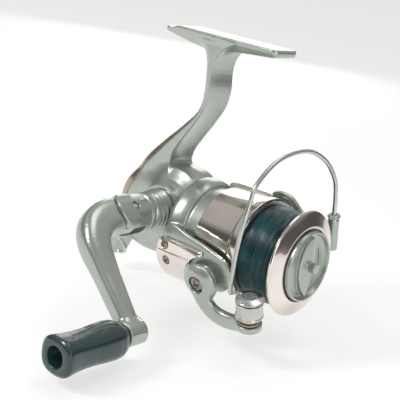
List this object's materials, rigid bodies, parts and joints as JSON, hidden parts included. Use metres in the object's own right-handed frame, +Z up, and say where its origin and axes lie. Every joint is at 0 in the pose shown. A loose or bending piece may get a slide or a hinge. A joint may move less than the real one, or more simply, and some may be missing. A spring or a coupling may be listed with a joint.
{
  "type": "spinning reel",
  "caption": "Front-drag spinning reel with folding crank handle, rotor with bail and line roller, and a line-filled spool.",
  "frame": {"origin": "centre of the flat top of the foot, where the reel seats on the rod", "axes": "+Z up into the rod, +X along the rod towards its tip, handle on the -Y side"},
  "size_m": [0.0989, 0.115, 0.1008],
  "materials": {
    "silver_paint": "satin sage-silver paint",
    "champagne_chrome": "bright champagne plating",
    "steel": "polished",
    "brass": "satin",
    "black_plastic": "matte",
    "grip_plastic": "soft gloss",
    "line_nylon": "glossy dark teal",
    "zinc_casting": "as cast",
    "felt": "oiled felt"
  },
  "bodies": {
    "frame": {"body_housing": "silver_paint", "side_cover": "silver_paint", "side_cover_screw_1": "zinc_casting", "side_cover_screw_2": "zinc_casting", "side_cover_screw_3": "zinc_casting", "rear_cover": "champagne_chrome", "rear_cover_screw": "steel", "handle_seat_ring": "silver_paint", "drive_bearing_left": "steel", "drive_bearing_right": "steel", "pinion_bearing": "steel", "bearing_retainer": "zinc_casting", "slider_guide_rod": "steel"},
    "handle": {"handle_axle": "silver_paint", "fold_pin": "steel", "axle_cap": "silver_paint", "drive_gear": "zinc_casting"},
    "crank": {"crank_arm": "silver_paint", "knob_spindle": "steel", "knob_washer": "black_plastic"},
    "grip": {"knob": "grip_plastic"},
    "rotor_head": {"rotor": "silver_paint", "pinion_gear": "brass", "ratchet_wheel": "zinc_casting", "rotor_nut": "brass", "arm_cover_near": "champagne_chrome", "arm_cover_far": "champagne_chrome", "arm_cover_screw_near_1": "steel", "arm_cover_screw_near_2": "steel", "arm_cover_screw_far_1": "steel", "arm_cover_screw_far_2": "steel", "bail_spring": "steel", "bail_pivot_screw_near": "steel", "bail_pivot_screw_far": "steel"},
    "trip": {"bail_trip_lever": "steel"},
    "bail": {"bail_arm": "silver_paint", "wire_holder_arm": "silver_paint", "bail_wire": "steel", "roller_bushing": "brass", "roller_screw": "steel"},
    "roller": {"line_roller": "steel"},
    "crosswind": {"cross_gear": "zinc_casting"},
    "shaft": {"main_shaft": "steel", "crosshead_slider": "zinc_casting", "slider_screw": "steel"},
    "spool": {"spool_body": "zinc_casting", "spool_skirt": "champagne_chrome", "spool_lip": "champagne_chrome", "fishing_line": "line_nylon", "line_clip": "black_plastic", "spool_click_gear": "zinc_casting", "drag_washer_1": "felt", "drag_washer_2": "steel", "drag_washer_3": "felt", "drag_retaining_ring": "steel"},
    "drag_cap": {"drag_knob": "silver_paint", "drag_spring": "steel"},
    "switch": {"anti_reverse_lever": "steel"},
    "pawl": {"ratchet_pawl": "steel"}
  },
  "joints": [
    {"name": "handle_turn", "type": "hinge", "parent": "frame", "child": "handle", "pos_m": [-0.00778, 0, -0.0671], "axis": [0, 1, 0], "continuous": true},
    {"name": "handle_fold", "type": "hinge", "parent": "handle", "child": "crank", "pos_m": [-0.00778, -0.0315, -0.0671], "axis": [0.6529, 0, 0.7575], "range_deg": [0, 35]},
    {"name": "knob_turn", "type": "hinge", "parent": "crank", "child": "grip", "pos_m": [0.02394, -0.058, -0.09445], "axis": [0, 1, 0], "continuous": true},
    {"name": "rotor_turn", "type": "hinge", "parent": "frame", "child": "rotor_head", "pos_m": [0.00895, 0, -0.07198], "axis": [0.999, 0, 0.0436], "continuous": true},
    {"name": "crosswind_turn", "type": "hinge", "parent": "frame", "child": "crosswind", "pos_m": [-0.01843, 0.0028, -0.07297], "axis": [0, 1, 0], "continuous": true},
    {"name": "spool_travel", "type": "slide", "parent": "frame", "child": "shaft", "axis": [0.999, 0, 0.0436], "range_m": [-0.0052, 0.0052]},
    {"name": "spool_drag", "type": "hinge", "parent": "shaft", "child": "spool", "pos_m": [0.03892, 0, -0.07067], "axis": [0.999, 0, 0.0436], "continuous": true},
    {"name": "drag_knob_turn", "type": "hinge", "parent": "shaft", "child": "drag_cap", "pos_m": [0.05091, 0, -0.07015], "axis": [0.999, 0, 0.0436], "range_deg": [-360, 720]},
    {"name": "bail_open", "type": "hinge", "parent": "rotor_head", "child": "bail", "pos_m": [0.02373, 0, -0.07133], "axis": [-0.0184, 0.9063, 0.4222], "range_deg": [0, 90]},
    {"name": "bail_trip_slide", "type": "slide", "parent": "rotor_head", "child": "trip", "axis": [0.999, 0, 0.0436], "range_m": [-0.0016, 0]},
    {"name": "line_roller_turn", "type": "hinge", "parent": "bail", "child": "roller", "pos_m": [0.04626, -0.02249, -0.08294], "axis": [0.0081, -0.2611, 0.9653], "continuous": true},
    {"name": "anti_reverse_switch", "type": "hinge", "parent": "frame", "child": "switch", "pos_m": [-0.03524, -0.0057, -0.08692], "axis": [0, 1, 0], "range_deg": [0, 35]},
    {"name": "pawl_lift", "type": "hinge", "parent": "frame", "child": "pawl", "pos_m": [0.00914, 0.0094, -0.07858], "axis": [0.999, 0, 0.0436], "range_deg": [-20, 0]}
  ],
  "couplings": [
    {"joint": "rotor_turn", "follows": "handle_turn", "ratio": -5},
    {"joint": "crosswind_turn", "follows": "handle_turn", "ratio": -0.53846},
    {"joint": "bail_trip_slide", "follows": "bail_open", "m_per_rad": -0.001},
    {"joint": "pawl_lift", "follows": "anti_reverse_switch", "ratio": -0.57}
  ]
}
